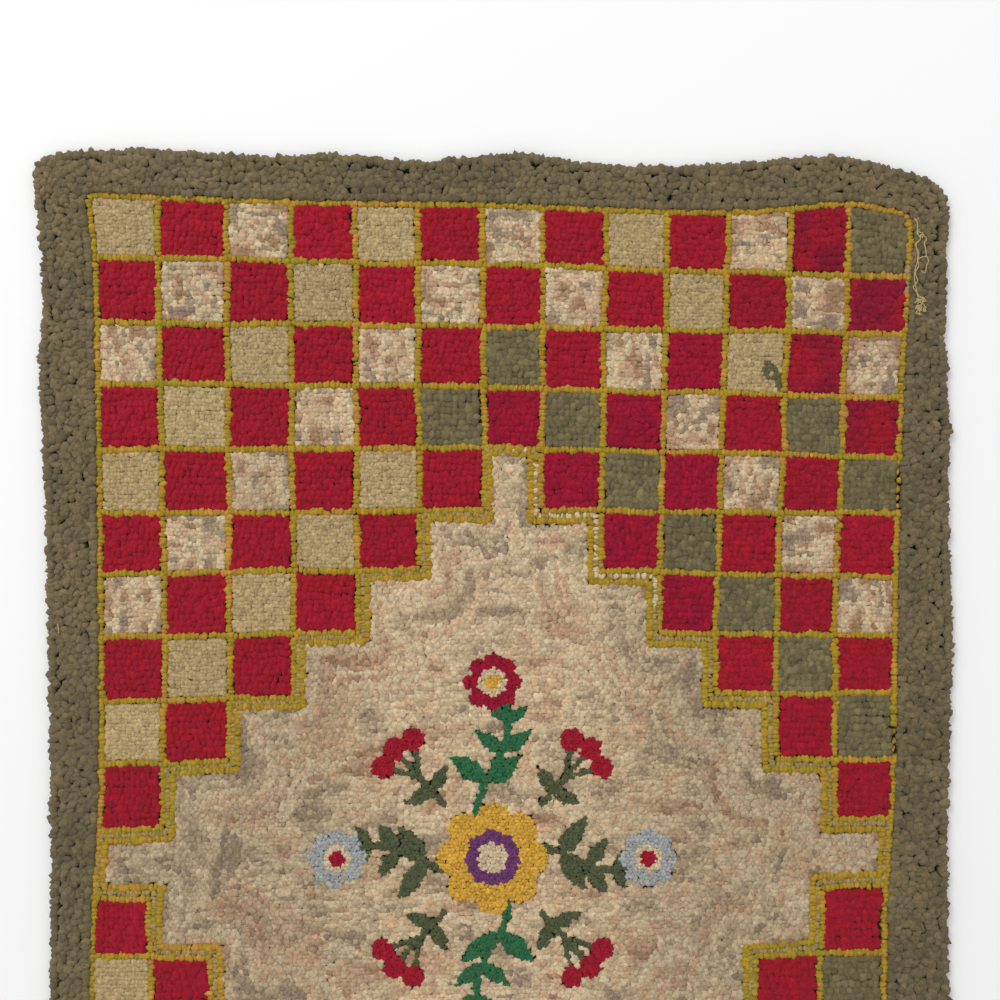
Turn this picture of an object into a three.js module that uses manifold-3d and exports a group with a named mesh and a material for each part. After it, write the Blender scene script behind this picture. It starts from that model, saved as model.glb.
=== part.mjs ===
// A hand-hooked wool rug, lying flat. It is one piece: a burlap foundation, packed with loops of
// wool that are pulled up through it. The solid reaches from the underside of the foundation to
// the tops of the loops. The dark edge band is hooked in thick, long loops and stands higher than
// the patterned panel inside it.
//
// Millimetres, +Z up. The rug's length runs along Y and its underside is flat, at Z = 0.

import * as THREE from "three";
import { mergeVertices } from "three/addons/utils/BufferGeometryUtils.js";
import Module from "manifold-3d";

const wasm = await Module();
wasm.setup();

// ---------------------------------------------------------------- driving dimensions

const EDGE_PILE_TOP = 11; // the tops of the thick loops in the edge band
const PANEL_PILE_TOP = 8; // the tops of the shorter loops in the panel
const SHOULDER = 3; // how far the outermost loops lean over and round the edge off
const SHOULDER_STEPS = 2;
const POINTS_PER_SPAN = 3; // points of smooth curve between two marks of an outline

// The outer edge, as it was cut and has stretched: a little narrower at mid length on the left,
// drawn up and down between the places where it has been held, and each corner different.
const FAR_EDGE = [
  [-452, 701], [-407, 708], [-352, 711], [-292, 708], [-212, 703], [-162, 706], [-72, 698],
  [-22, 703], [28, 706], [108, 695], [178, 693], [268, 698], [323, 703], [366, 701], [408, 689],
  [438, 680],
];
const RIGHT_EDGE = [
  [453, 664], [453, 598], [452, 528], [456, 430], [455, 358], [458, 258], [459, 205], [457, 128],
  [455, 58], [454, -20], [456, -140], [459, -260], [456, -380], [452, -500], [454, -600],
];
const NEAR_EDGE = [
  [453, -672], [440, -694], [392, -703], [310, -708], [205, -702], [95, -697], [-15, -703],
  [-120, -709], [-225, -704], [-320, -697], [-398, -702],
];
const LEFT_EDGE = [
  [-443, -698], [-457, -678], [-458, -600], [-454, -500], [-449, -380], [-446, -250],
  [-443, -120], [-442, 0], [-443, 90], [-445, 200], [-446, 300], [-450, 420], [-454, 490],
  [-450, 560], [-454, 630], [-460, 686],
];

// The panel inside the edge band is slightly waisted, and its end follows the rug's own waves. This
// is its far half, from the left side round to the right. The near half is the same, turned round.
const PANEL_FAR_HALF = [
  [-395, 60], [-396, 300], [-399, 500], [-401, 590], [-407, 650], [-408, 661], [-402, 667],
  [-390, 667], [-333, 665], [-200, 660], [0, 657], [200, 650], [290, 653], [358, 659], [392, 653],
  [414, 647], [420, 637], [418, 580], [412, 480], [407, 330], [405, 180], [402, 50],
];

// ---------------------------------------------------------------- helpers

/** A closed flat shape whose outline passes smoothly through the marks. */
function smoothShape(marks) {
  const knots = marks.map(([x, y]) => new THREE.Vector3(x, y, 0));
  const curve = new THREE.CatmullRomCurve3(knots, true, "centripetal");
  const points = curve.getPoints(marks.length * POINTS_PER_SPAN).slice(0, -1);
  return new THREE.Shape(points.map((p) => new THREE.Vector2(p.x, p.y)).reverse());
}

/** A solid for joining and cutting, from a closed geometry. */
function toSolid(geometry) {
  const bare = geometry.index ? geometry.toNonIndexed() : geometry.clone();
  bare.deleteAttribute("normal");
  bare.deleteAttribute("uv");
  const merged = mergeVertices(bare, 1e-4);
  return new wasm.Manifold(
    new wasm.Mesh({
      numProp: 3,
      vertProperties: new Float32Array(merged.attributes.position.array),
      triVerts: new Uint32Array(merged.index.array),
    }),
  );
}

/** The geometry of a finished solid. */
function toGeometry(solid) {
  const mesh = solid.getMesh();
  const geometry = new THREE.BufferGeometry();
  geometry.setAttribute("position", new THREE.BufferAttribute(mesh.vertProperties, 3));
  geometry.setIndex(new THREE.BufferAttribute(mesh.triVerts, 1));
  return geometry;
}

// ---------------------------------------------------------------- the rug

/** The whole slab, up to the tops of the edge band's loops, with a rounded shoulder on top. */
function slab() {
  const outline = smoothShape([...FAR_EDGE, ...RIGHT_EDGE, ...NEAR_EDGE, ...LEFT_EDGE]);
  const rounded = new THREE.ExtrudeGeometry(outline, {
    depth: EDGE_PILE_TOP - SHOULDER,
    bevelEnabled: true,
    bevelSize: SHOULDER,
    bevelThickness: SHOULDER,
    bevelOffset: -SHOULDER,
    bevelSegments: SHOULDER_STEPS,
  });
  // The bevel below the underside is cut away, so that the rug lies flat right up to its edge.
  const span = 2000;
  const above = new THREE.BoxGeometry(span, span, EDGE_PILE_TOP * 2);
  above.translate(0, 0, EDGE_PILE_TOP);
  return toSolid(rounded).intersect(toSolid(above));
}

/** What is missing above the panel's shorter loops. */
function panelHollow() {
  const nearHalf = PANEL_FAR_HALF.map(([x, y]) => [-x, -y]);
  const hollow = new THREE.ExtrudeGeometry(smoothShape([...PANEL_FAR_HALF, ...nearHalf]), {
    depth: EDGE_PILE_TOP,
    bevelEnabled: false,
  });
  hollow.translate(0, 0, PANEL_PILE_TOP);
  return toSolid(hollow);
}

const rugGeometry = toGeometry(slab().subtract(panelHollow()));

// The origin is under the middle of the rug, on the floor.
rugGeometry.computeBoundingBox();
const middle = rugGeometry.boundingBox.getCenter(new THREE.Vector3());
rugGeometry.translate(-middle.x, -middle.y, 0);
rugGeometry.computeVertexNormals();

const hookedWool = new THREE.MeshStandardMaterial({
  name: "hooked wool",
  color: new THREE.Color(0.44, 0.3, 0.2),
  roughness: 0.95,
  metalness: 0,
});

const rug = new THREE.Mesh(rugGeometry, hookedWool);
rug.name = "rug";

const object = new THREE.Group();
object.add(rug);

export default object;
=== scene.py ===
# %% [markdown]
# # A hand-hooked rug
# The rug is one piece of burlap with many thousands of wool loops pulled up through it. The maker
# drew the pattern on the burlap first, worked a single row of gold loops along every line, and
# then filled each shape with rows of loops, close enough to hold each other up. A dark band of
# thick, long loops protects the edge.
#
# The CAD model holds the rug's true outline and thickness, and here the rug is made again as it
# really is: a thin foundation cloth, and the loops on it.

# %% Load the frame
import math

import bmesh
import bpy
import mathutils
import numpy as np
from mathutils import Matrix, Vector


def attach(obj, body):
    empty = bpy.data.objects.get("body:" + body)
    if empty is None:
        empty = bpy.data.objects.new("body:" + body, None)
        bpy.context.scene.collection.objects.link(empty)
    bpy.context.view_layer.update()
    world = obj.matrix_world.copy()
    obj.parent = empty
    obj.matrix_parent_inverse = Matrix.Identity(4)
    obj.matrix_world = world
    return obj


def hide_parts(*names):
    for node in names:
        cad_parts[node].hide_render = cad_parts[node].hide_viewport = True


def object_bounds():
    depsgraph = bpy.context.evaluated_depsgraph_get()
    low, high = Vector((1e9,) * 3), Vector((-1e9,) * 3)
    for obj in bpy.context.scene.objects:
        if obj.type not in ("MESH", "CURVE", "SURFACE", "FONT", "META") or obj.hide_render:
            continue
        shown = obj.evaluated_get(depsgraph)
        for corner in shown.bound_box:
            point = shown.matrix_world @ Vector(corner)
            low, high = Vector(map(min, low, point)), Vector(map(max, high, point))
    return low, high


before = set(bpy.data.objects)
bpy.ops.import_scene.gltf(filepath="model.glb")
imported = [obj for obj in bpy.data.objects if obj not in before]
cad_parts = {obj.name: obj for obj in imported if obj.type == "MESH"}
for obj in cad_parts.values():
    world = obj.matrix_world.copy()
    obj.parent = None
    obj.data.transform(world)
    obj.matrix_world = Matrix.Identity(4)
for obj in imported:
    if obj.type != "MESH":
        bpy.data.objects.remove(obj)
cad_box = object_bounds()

MM = 0.001
chance = np.random.default_rng(1926)
print("CAD box, metres:", [[round(n, 4) for n in corner] for corner in cad_box])

# %% [markdown]
# ## The outlines
# Two outlines come from the CAD solid: the rug's own edge, which is the rim of its flat underside,
# and the edge of the patterned panel, which is the rim of the lower part of its top. They could be
# drawn again by hand, but following the rim of a set of faces keeps the loops true to the solid.

# %% Read the two outlines from the solid
PANEL_TOP = 8 * MM
PILE_TOP = cad_box[1].z
BETWEEN_TOPS = (PANEL_TOP + PILE_TOP) / 2
LEVEL = 0.99  # the normal of a level face points up or down at least this far


def rim_of(node, wanted):
    """The rim of the faces of a CAD node that wanted() picks, as points in order, in metres."""
    shape = bmesh.new()
    shape.from_mesh(node.data)
    bmesh.ops.remove_doubles(shape, verts=shape.verts, dist=0.01 * MM)
    picked = {face for face in shape.faces if wanted(face)}
    beside = {}
    for edge in shape.edges:
        if sum(face in picked for face in edge.link_faces) == 1:
            for here, there in (edge.verts, reversed(edge.verts)):
                beside.setdefault(here.index, []).append(there.index)
    shape.verts.ensure_lookup_table()
    start = next(iter(beside))
    ring = [start]
    last, here = None, start
    while True:
        onward = [index for index in beside[here] if index != last]
        last, here = here, onward[0]
        if here == start:
            break
        ring.append(here)
    points = np.array([shape.verts[index].co.xy for index in ring])
    shape.free()
    x, y = points.T
    area = (x * np.roll(y, -1) - y * np.roll(x, -1)).sum() / 2
    return points if area > 0 else points[::-1]


rug_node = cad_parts["rug"]
edge_ring = rim_of(rug_node, lambda face: face.normal.z < -LEVEL)
panel_ring = rim_of(
    rug_node, lambda face: face.normal.z > LEVEL and face.calc_center_median().z < BETWEEN_TOPS,
)
print("points round the edge:", len(edge_ring), "and round the panel:", len(panel_ring))

# %% [markdown]
# ## Helpers for flat shapes
# Most of the work is deciding where each loop stands and what colour it is. That needs a few small
# helpers: which points are inside a ring, how far points are from a line, points scattered over a
# box, and a soft random cloud that makes colours and rows wander as they do in work by hand.

# %% Rings, lines and clouds
BATCH = 4000  # how many points are measured at a time, to save memory
CLOUD_SIDE = 256
cloud_grid = chance.random((CLOUD_SIDE, CLOUD_SIDE))


def inside(points, ring):
    """True for each point inside a ring: a line from it crosses the ring an odd number of times."""
    x, y = points[:, :1], points[:, 1:]
    ax, ay = ring.T
    bx, by = np.roll(ring, -1, axis=0).T
    rise = np.where(by == ay, 1e-9, by - ay)
    crosses = ((ay > y) != (by > y)) & (x < ax + (y - ay) * (bx - ax) / rise)
    return crosses.sum(axis=1) % 2 == 1


def along_line(points, line, closed=False):
    """How far each point is from a line, and how far along the line its nearest place is."""
    starts = line if closed else line[:-1]
    spans = np.roll(line, -1, axis=0)[: len(starts)] - starts
    lengths = np.hypot(*spans.T)
    before = np.concatenate([[0], np.cumsum(lengths)[:-1]])
    away, along = [], []
    for first in range(0, len(points), BATCH):
        offset = points[first : first + BATCH, None] - starts
        share = ((offset * spans).sum(axis=2) / (lengths**2)).clip(0, 1)
        gap = np.hypot(*np.moveaxis(offset - share[..., None] * spans, 2, 0))
        best = gap.argmin(axis=1)
        rows = np.arange(len(best))
        away.append(gap[rows, best])
        along.append(before[best] + share[rows, best] * lengths[best])
    return np.concatenate(away), np.concatenate(along)


def cloud(x, y):
    """Soft random values from 0 to 1, which change over a distance of about 1."""
    x, y = np.asarray(x, float), np.asarray(y, float)
    left, low = np.floor(x).astype(int), np.floor(y).astype(int)
    fx, fy = x - left, y - low
    fx, fy = fx * fx * (3 - 2 * fx), fy * fy * (3 - 2 * fy)
    left, low = left % CLOUD_SIDE, low % CLOUD_SIDE
    right, high = (left + 1) % CLOUD_SIDE, (low + 1) % CLOUD_SIDE
    near = cloud_grid[left, low] * (1 - fx) + cloud_grid[right, low] * fx
    far = cloud_grid[left, high] * (1 - fx) + cloud_grid[right, high] * fx
    return near * (1 - fy) + far * fy


def patches(at, size, shift=(0, 0)):
    """Soft random values from 0 to 1 for places on the rug, in patches of a size in mm."""
    return cloud(*(at / np.multiply(size, MM) + shift).T)


def scattered(low, high, across, along, jitter):
    """Points in staggered rows over a box, each moved a little at random."""
    xs = np.arange(low[0], high[0], across)
    ys = np.arange(low[1], high[1], along)
    x, y = np.meshgrid(xs, ys)
    x = x + across / 2 * (np.arange(len(ys)) % 2)[:, None]
    points = np.column_stack([x.ravel(), y.ravel()])
    return points + chance.uniform(-jitter, jitter, points.shape) * [across, along]


print("a cloud's spread:", round(float(cloud(np.arange(0, 90, 0.37), 4.2).std()), 3))

# %% [markdown]
# ## The drawing on the burlap
# Thirteen squares go across the rug and twenty-one rows go along it. The maker ruled them by eye,
# so the lines drift: rows fan out towards the left, and columns lean in towards the middle. A few
# marks hold that drift, and everything else is placed in squares, u across and v along, and turned
# into metres by one function. The near half of the rug is drawn as the far half turned round.

# %% Rule the squares
ACROSS = 13
ALONG = 21
SQUARE = 62.5 * MM

# Where the upright lines cross the far edge of the panel, and where they are near mid length, in mm.
COLUMNS_FAR = [-404, -335, -267, -202, -138, -75, -10, 50, 114, 175, 237, 300, 357, 418]
COLUMNS_MID = [-396, -329, -263, -199, -135, -72, -8, 49, 107, 167, 224, 284, 343, 405]
COLUMNS_SETTLE = 7  # the row from which the lines run straight on
WANDER = 1.6 * MM  # how far the lines stray from their marks

# How far up the rug the lines between rows are, in mm, at the left, in the middle and at the right.
ROWS_LEFT = [664, 602, 537, 475, 408, 345, 284, 221, 157, 94, 27]
ROWS_MIDDLE = [657, 594, 532, 471, 411, 348, 291, 228, 164, 102, 42]
ROWS_RIGHT = [650, 582, 525, 461, 401, 345, 281, 223, 166, 98, 40]
ROWS_MARKED_AT = np.array([-396, -8, 405]) * MM

# The panel's sides and its far end are what lies beyond these places, less the far end's corners.
SIDES_BEYOND = 380 * MM
END_BEYOND = 600 * MM
CORNERS_BEYOND = 410 * MM


def in_order(points, axis):
    """Points sorted along one axis."""
    return points[points[:, axis].argsort()]


x, y = panel_ring.T
left_side = in_order(panel_ring[x < -SIDES_BEYOND], 1)
right_side = in_order(panel_ring[x > SIDES_BEYOND], 1)
far_side = in_order(panel_ring[(y > END_BEYOND) & (abs(x) < CORNERS_BEYOND)], 0)


def far_half(u, v):
    """Metres for squares' coordinates in the far half of the rug."""
    settled = np.clip(v / COLUMNS_SETTLE, 0, 1)
    marks = np.arange(ACROSS + 1)

    def column(at):
        far = np.interp(at, marks, COLUMNS_FAR) * (1 - settled)
        return (far + np.interp(at, marks, COLUMNS_MID) * settled) * MM

    x = column(u)
    lines = np.array([ROWS_LEFT, ROWS_MIDDLE, ROWS_RIGHT]) * MM
    row = np.clip(np.floor(v).astype(int), 0, len(ROWS_LEFT) - 2)
    part = v - row
    marked = lines[:, row] * (1 - part) + lines[:, row + 1] * part
    low = (x < ROWS_MARKED_AT[1]).astype(int)
    first = np.where(low, marked[0], marked[2])
    reach = np.where(low, ROWS_MARKED_AT[0], ROWS_MARKED_AT[2]) - ROWS_MARKED_AT[1]
    y = marked[1] + (first - marked[1]) * (x - ROWS_MARKED_AT[1]) / reach
    # The first row hangs from the panel's own far edge.
    top = np.interp(x, far_side[:, 0], far_side[:, 1])
    drop = top - np.interp(x, ROWS_MARKED_AT, lines[:, 0])
    y = y + drop * np.clip(1 - v, 0, 1)
    # The outer columns reach to the panel's own sides.
    left = np.interp(y, left_side[:, 1], left_side[:, 0])
    right = np.interp(y, right_side[:, 1], right_side[:, 0])
    x = x + (left - column(0)) * np.clip(1 - u, 0, 1)
    x = x + (right - column(ACROSS)) * np.clip(u - (ACROSS - 1), 0, 1)
    return np.stack([x, y], axis=-1)


def on_rug(u, v):
    """Metres for squares' coordinates: u across from the left, v along from the far end."""
    u, v = np.broadcast_arrays(np.asarray(u, float), np.asarray(v, float))
    far = far_half(u, v)
    near = -far_half(ACROSS - u, ALONG - v)
    share = np.clip(v - (ALONG - 1) / 2, 0, 1)[..., None]
    place = far * (1 - share) + near * share
    x, y = place[..., 0], place[..., 1]
    shift = np.stack([cloud(x * 21, y * 17), cloud(y * 23, x * 19)], axis=-1)
    rim = np.minimum.reduce([u, ACROSS - u, v, ALONG - v]).clip(0, 1)[..., None]
    return place + (shift - 0.5) * 2 * WANDER * rim


print("the middle of the drawing:", on_rug(6.5, 10.5).round(4))

# %% [markdown]
# ## Which square is what
# The squares step back row by row, so that the pale field between the two ends is a stepped
# diamond. Every second square is red. The others run in diagonals of plain wool and of mixed
# leftovers, the same from the left and from the right. The plain wool is khaki tan, until the
# maker had only the green of the edge band left.

# %% Name the wool of every square
FULL_ROWS = 4
STEPPED_ROWS = 10
DIAGONALS = 8  # the diagonals repeat after this many squares
MIXED_DIAGONALS = (2, 6)
GREEN_FROM_ROW = 3
GREEN_FROM_COLUMN = 7
GREEN_CORNERS = {(0, 12), (2, 6), (3, 5)}
CRIMSON = {(2, 9), (3, 8), (3, 6), (4, 7), (4, 9), (5, 8), (6, 9)}


def is_square(row, column):
    """True if the checkerboard has a square there, and not the open field."""
    row = min(row, ALONG - 1 - row)
    return row < STEPPED_ROWS and (row < FULL_ROWS or abs(column - ACROSS // 2) > row - FULL_ROWS)


def wool_of(row, column):
    """The wool that a square is filled with."""
    row = min(row, ALONG - 1 - row)
    if (row + column) % 2:
        return "crimson" if (row, column) in CRIMSON else "red"
    if (row + min(column, ACROSS - 1 - column)) % DIAGONALS in MIXED_DIAGONALS:
        return "mixed"
    late = row >= GREEN_FROM_ROW and column >= GREEN_FROM_COLUMN
    return "green" if late or (row, column) in GREEN_CORNERS else "tan"


squares = [(r, c) for r in range(ALONG) for c in range(ACROSS) if is_square(r, c)]
kinds = [wool_of(r, c) for r, c in squares]
print(len(squares), "squares:", {kind: kinds.count(kind) for kind in sorted(set(kinds))})

# %% [markdown]
# ## The dye pot
# Colours are given as they look, from 0 to 255, and turned into the linear values that the
# renderer adds up. Each name is one batch of wool. No two loops match exactly, so each one is
# mixed a little lighter or darker, and a little towards a second colour.

# %% Mix the dyes
DYES = {
    "edge": (105, 93, 66),
    "edge warm": (114, 99, 70),
    "edge deep": (94, 84, 60),
    "red": (149, 14, 34),
    "red deep": (134, 14, 34),
    "crimson": (146, 7, 40),
    "crimson deep": (122, 10, 40),
    "gold": (158, 128, 32),
    "gold brown": (172, 128, 50),
    "gold green": (146, 128, 34),
    "tan": (172, 150, 108),
    "tan deep": (152, 130, 90),
    "green": (112, 101, 70),
    "green deep": (94, 86, 60),
    "cream": (195, 175, 142),
    "beige": (174, 153, 122),
    "peach": (190, 156, 122),
    "rose": (178, 142, 116),
    "grey": (152, 134, 106),
    "violet grey": (140, 119, 101),
    "brown": (148, 118, 88),
    "leaf": (68, 80, 52),
    "pale blue": (150, 158, 162),
    "purple": (104, 54, 100),
    "deep purple": (84, 44, 90),
    "bright green": (30, 100, 62),
    "mustard": (200, 155, 55),
    "thread": (168, 150, 105),
    "burlap": (74, 60, 40),
}


def dye(name):
    """A dye as linear red, green and blue."""
    shade = np.array(DYES[name]) / 255
    return np.where(shade <= 0.04045, shade / 12.92, ((shade + 0.055) / 1.055) ** 2.4)


def dyed(base, second, count, mix=0.5, spread=0.09):
    """Linear colours for a number of loops, between two dyes, each a little lighter or darker."""
    share = chance.random((count, 1)) ** 1.5 * mix
    light = 1 + chance.normal(0, spread, (count, 1))
    return ((dye(base) * (1 - share) + dye(second) * share) * light).clip(0.002, 1)


def blended(names, values):
    """Colours from a row of dyes laid side by side, for values from 0 to 1."""
    pot = np.array([dye(name) for name in names])
    place = np.clip(values, 0, 1) * (len(names) - 1)
    low = np.floor(place).astype(int).clip(0, len(names) - 2)
    part = (place - low)[:, None]
    return pot[low] * (1 - part) + pot[low + 1] * part


def drifting(at, names, size, shift, stray, spread):
    """Colours that drift between dyes from place to place, and differ a little from loop to loop."""
    drift = patches(at, size, shift) + chance.normal(0, stray, len(at))
    return blended(names, drift) * (1 + chance.normal(0, spread, (len(at), 1)))


print(len(DYES), "dyes; red is", dye("red").round(3))

# %% [markdown]
# ## Three loops
# Each loop is an arch of wool, but the loops stand packed together and press each other square, so
# only their tops show, as small cushions with creases between. Each is made from the upper half of
# a ball, whose rings of points are moved out until its sides stand steep. The fine wool, the yarn
# and the thick strips of the edge differ in how many sides they need, and only the thick one, which
# can be seen from the side, is closed below. Each is modelled once, with few faces, because it is
# repeated thousands of times.

# %% Model the loops once
TOUCH = 0.01  # points as near as this to a level belong to it


def start_shape():
    """Nothing is selected before a new shape is added."""
    if bpy.context.object and bpy.context.object.mode != "OBJECT":
        bpy.ops.object.mode_set(mode="OBJECT")
    bpy.ops.object.select_all(action="DESELECT")


def select_points(shape, wanted):
    """In edit mode, selects the points for which wanted(co) is true."""
    mesh = bmesh.from_edit_mesh(shape.data)
    for vert in mesh.verts:
        vert.select = wanted(vert.co)
    mesh.select_flush_mode()
    bmesh.update_edit_mesh(shape.data)


def finish_loop(shape):
    """The points and triangles of a loop, one unit long, wide and high. The shape is put away."""
    bpy.ops.mesh.select_all(action="SELECT")
    bpy.ops.mesh.normals_make_consistent(inside=False)
    bpy.ops.mesh.quads_convert_to_tris()
    bpy.ops.object.mode_set(mode="OBJECT")
    points = np.array([vert.co for vert in shape.data.vertices])
    faces = np.array([face.vertices for face in shape.data.polygons])
    low, high = points.min(axis=0), points.max(axis=0)
    points = (points - [(low[0] + high[0]) / 2, (low[1] + high[1]) / 2, low[2]]) / (high - low)
    mesh = shape.data
    bpy.data.objects.remove(shape)
    bpy.data.meshes.remove(mesh)
    return points, faces


def packed_loop(sides, rings, closed=False):
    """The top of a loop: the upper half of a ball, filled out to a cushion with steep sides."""
    start_shape()
    bpy.ops.mesh.primitive_uv_sphere_add(segments=sides, ring_count=2 * (len(rings) + 1), radius=1)
    ball = bpy.context.object
    bpy.ops.object.mode_set(mode="EDIT")
    select_points(ball, lambda co: co.z < -TOUCH)
    bpy.ops.mesh.delete(type="VERT")
    levels = [math.sin(math.pi / 2 * (n + 1) / (len(rings) + 1)) for n in range(len(rings))]
    for level, (wide, high) in zip(levels, rings):
        now_wide = math.sqrt(1 - level**2)
        select_points(ball, lambda co: abs(co.z - level) < TOUCH)
        bpy.ops.transform.resize(value=(wide / now_wide, wide / now_wide, 1))
        bpy.ops.transform.translate(value=(0, 0, high - level))
    if closed:
        select_points(ball, lambda co: co.z < TOUCH)
        bpy.ops.mesh.edge_face_add()
    bpy.ops.mesh.select_all(action="SELECT")
    bpy.ops.transform.rotate(value=math.pi / sides, orient_axis="Z", center_override=(0, 0, 0))
    return finish_loop(ball)


FINE_LOOP = packed_loop(sides=4, rings=[(0.9, 0.84)])
YARN_LOOP = packed_loop(sides=6, rings=[(0.9, 0.8)])
THICK_LOOP = packed_loop(sides=7, rings=[(0.93, 0.84)], closed=True)
for label, (points, faces) in {"fine": FINE_LOOP, "yarn": YARN_LOOP, "thick": THICK_LOOP}.items():
    print(label, "loop:", len(points), "points,", len(faces), "triangles")

# %% [markdown]
# ## Hooking
# One function joins the copies of a loop into a piece. Each copy is stretched to its own length,
# width and height, pressed out of shape a little, leaned over, turned, and moved to its place. Its
# colour is kept on its points, and is painted darker low down: painted shade where light hardly
# reaches, and the dust that stays there.
# Copies placed one by one as objects would be slow, so all the numbers of a piece are worked out
# together. A flat map seen from above lets its colours be painted on a sheet.

# %% Places, and the function that hooks them
BURLAP = 1.2 * MM
ROOT = 0.8 * MM  # a loop starts inside the burlap, so that no gap shows under it
# painted shade and dust: how dark a loop's colour is at its foot, low in the pile
PAINTED_SHADE_AND_DUST = 0.5
UNEVEN = 0.12  # how much the loops differ in length and width
UNEVEN_TOP = 0.35 * MM
TALLEST = 1.05  # no point of a loop stands higher than this share of the loop
LUMPY_WAYS = [1, 1, 0.5]  # a loop is pressed out of shape less in height
MAP_MARGIN = 0.01
hooked = []


def loops(at, turn, long, wide, top, dyes, lean, untidy=0.3):
    """Where loops stand, which way they point, their sizes in metres, and their colours."""
    count = len(at)
    return {
        "at": np.asarray(at),
        "turn": turn + chance.normal(0, untidy, count),
        "long": long * (1 + chance.normal(0, UNEVEN, count)),
        "wide": wide * (1 + chance.normal(0, UNEVEN, count)),
        "top": np.minimum(top + chance.normal(0, UNEVEN_TOP, count), PILE_TOP),
        "lean": chance.normal(0, 1, (count, 2)) * lean,
        "dye": dyes,
    }


def together(groups):
    """Several sets of loops as one."""
    return {key: np.concatenate([group[key] for group in groups]) for key in groups[0]}


def some(group, wanted):
    """Only the loops of a set that are wanted."""
    return {key: values[wanted] for key, values in group.items()}


def keep_dye(mesh, colours):
    """Keeps a colour on every point of a mesh."""
    values = np.ones((len(mesh.vertices), 4))
    values[:, :3] = colours
    kept = mesh.color_attributes.new("dye", "FLOAT_COLOR", "POINT")
    kept.data.foreach_set("color", values.ravel())


def top_map(mesh, xy, corner_points):
    """A flat map of a mesh seen from above, which fills the sheet."""
    low, high = xy.min(axis=0), xy.max(axis=0)
    flat = MAP_MARGIN + (xy - low) / (high - low) * (1 - 2 * MAP_MARGIN)
    sheet_map = mesh.uv_layers.new(name="OFBake")
    sheet_map.uv.foreach_set("vector", flat[corner_points].astype(np.float32).ravel())


def hook(name, shape, group, wool, lumpiness=0.06):
    """Joins a copy of a loop for each place into one piece, and gives it its wool."""
    corners, faces = shape
    count, each = len(group["at"]), len(corners)
    points = corners + chance.normal(0, lumpiness, (count, each, 3)) * LUMPY_WAYS
    height = points[..., 2].clip(0, TALLEST)
    along = points[..., 0] * group["long"][:, None]
    across = points[..., 1] * group["wide"][:, None]
    cos, sin = np.cos(group["turn"])[:, None], np.sin(group["turn"])[:, None]
    place = np.empty((count, each, 3))
    place[..., 0] = cos * along - sin * across + group["lean"][:, :1] * height
    place[..., 1] = sin * along + cos * across + group["lean"][:, 1:] * height
    place[..., :2] += group["at"][:, None]
    place[..., 2] = ROOT + height * (group["top"] - ROOT)[:, None]
    place[..., 2] = place[..., 2].clip(ROOT, PILE_TOP)
    corner_points = (faces[None] + np.arange(count)[:, None, None] * each).ravel()

    mesh = bpy.data.meshes.new(name)
    mesh.vertices.add(count * each)
    mesh.vertices.foreach_set("co", place.ravel())
    mesh.loops.add(len(corner_points))
    mesh.loops.foreach_set("vertex_index", corner_points)
    mesh.polygons.add(len(corner_points) // 3)
    mesh.polygons.foreach_set("loop_start", np.arange(0, len(corner_points), 3))
    mesh.update(calc_edges=True)
    mesh.shade_smooth()
    # painted shade and dust: each point's colour is darker the lower it stands in its loop
    shade = PAINTED_SHADE_AND_DUST + (1 - PAINTED_SHADE_AND_DUST) * height
    keep_dye(mesh, (group["dye"][:, None] * shade[..., None]).reshape(-1, 3))
    top_map(mesh, place[..., :2].reshape(-1, 2), corner_points)
    mesh.materials.append(wool)
    piece = bpy.data.objects.new(name, mesh)
    bpy.context.scene.collection.objects.link(piece)
    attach(piece, "root")
    hooked.append((piece, group))
    print(f"{name}: {count} loops, {len(mesh.polygons)} triangles")


print("the panel's loops stand", round((PANEL_TOP - BURLAP) / MM, 1), "mm above the burlap")

# %% [markdown]
# ## Wool
# All the wool is dull, soft and a little fuzzy. One node group makes its fine fibres: two sizes of
# noise, which give a shade to multiply the dye by and a height for a small bump. Real hairs would
# be far too many. The thick strips of the edge, the yarn of the squares and the fine wool of the
# field use the same group at their own sizes.

# %% The fibre group
def fill_in(tree, node, sockets):
    """Gives each named socket of a node its number, or a link from another socket."""
    for label, value in sockets.items():
        if isinstance(value, bpy.types.NodeSocket):
            tree.links.new(value, node.inputs[label])
        else:
            node.inputs[label].default_value = value


def add_node(tree, kind, sockets):
    """A new shader node with its sockets filled in."""
    node = tree.nodes.new(kind)
    fill_in(tree, node, sockets)
    return node


def times(tree, first, second):
    """One value times another."""
    node = tree.nodes.new("ShaderNodeMath")
    node.operation = "MULTIPLY"
    fill_in(tree, node, {0: first, 1: second})
    return node.outputs[0]


def ranged(tree, source, low, high, from_low=0.3, from_high=0.7):
    """Spreads a value over a new range."""
    limits = {"From Min": from_low, "From Max": from_high, "To Min": low, "To Max": high}
    return add_node(tree, "ShaderNodeMapRange", {"Value": source, **limits}).outputs["Result"]


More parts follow.
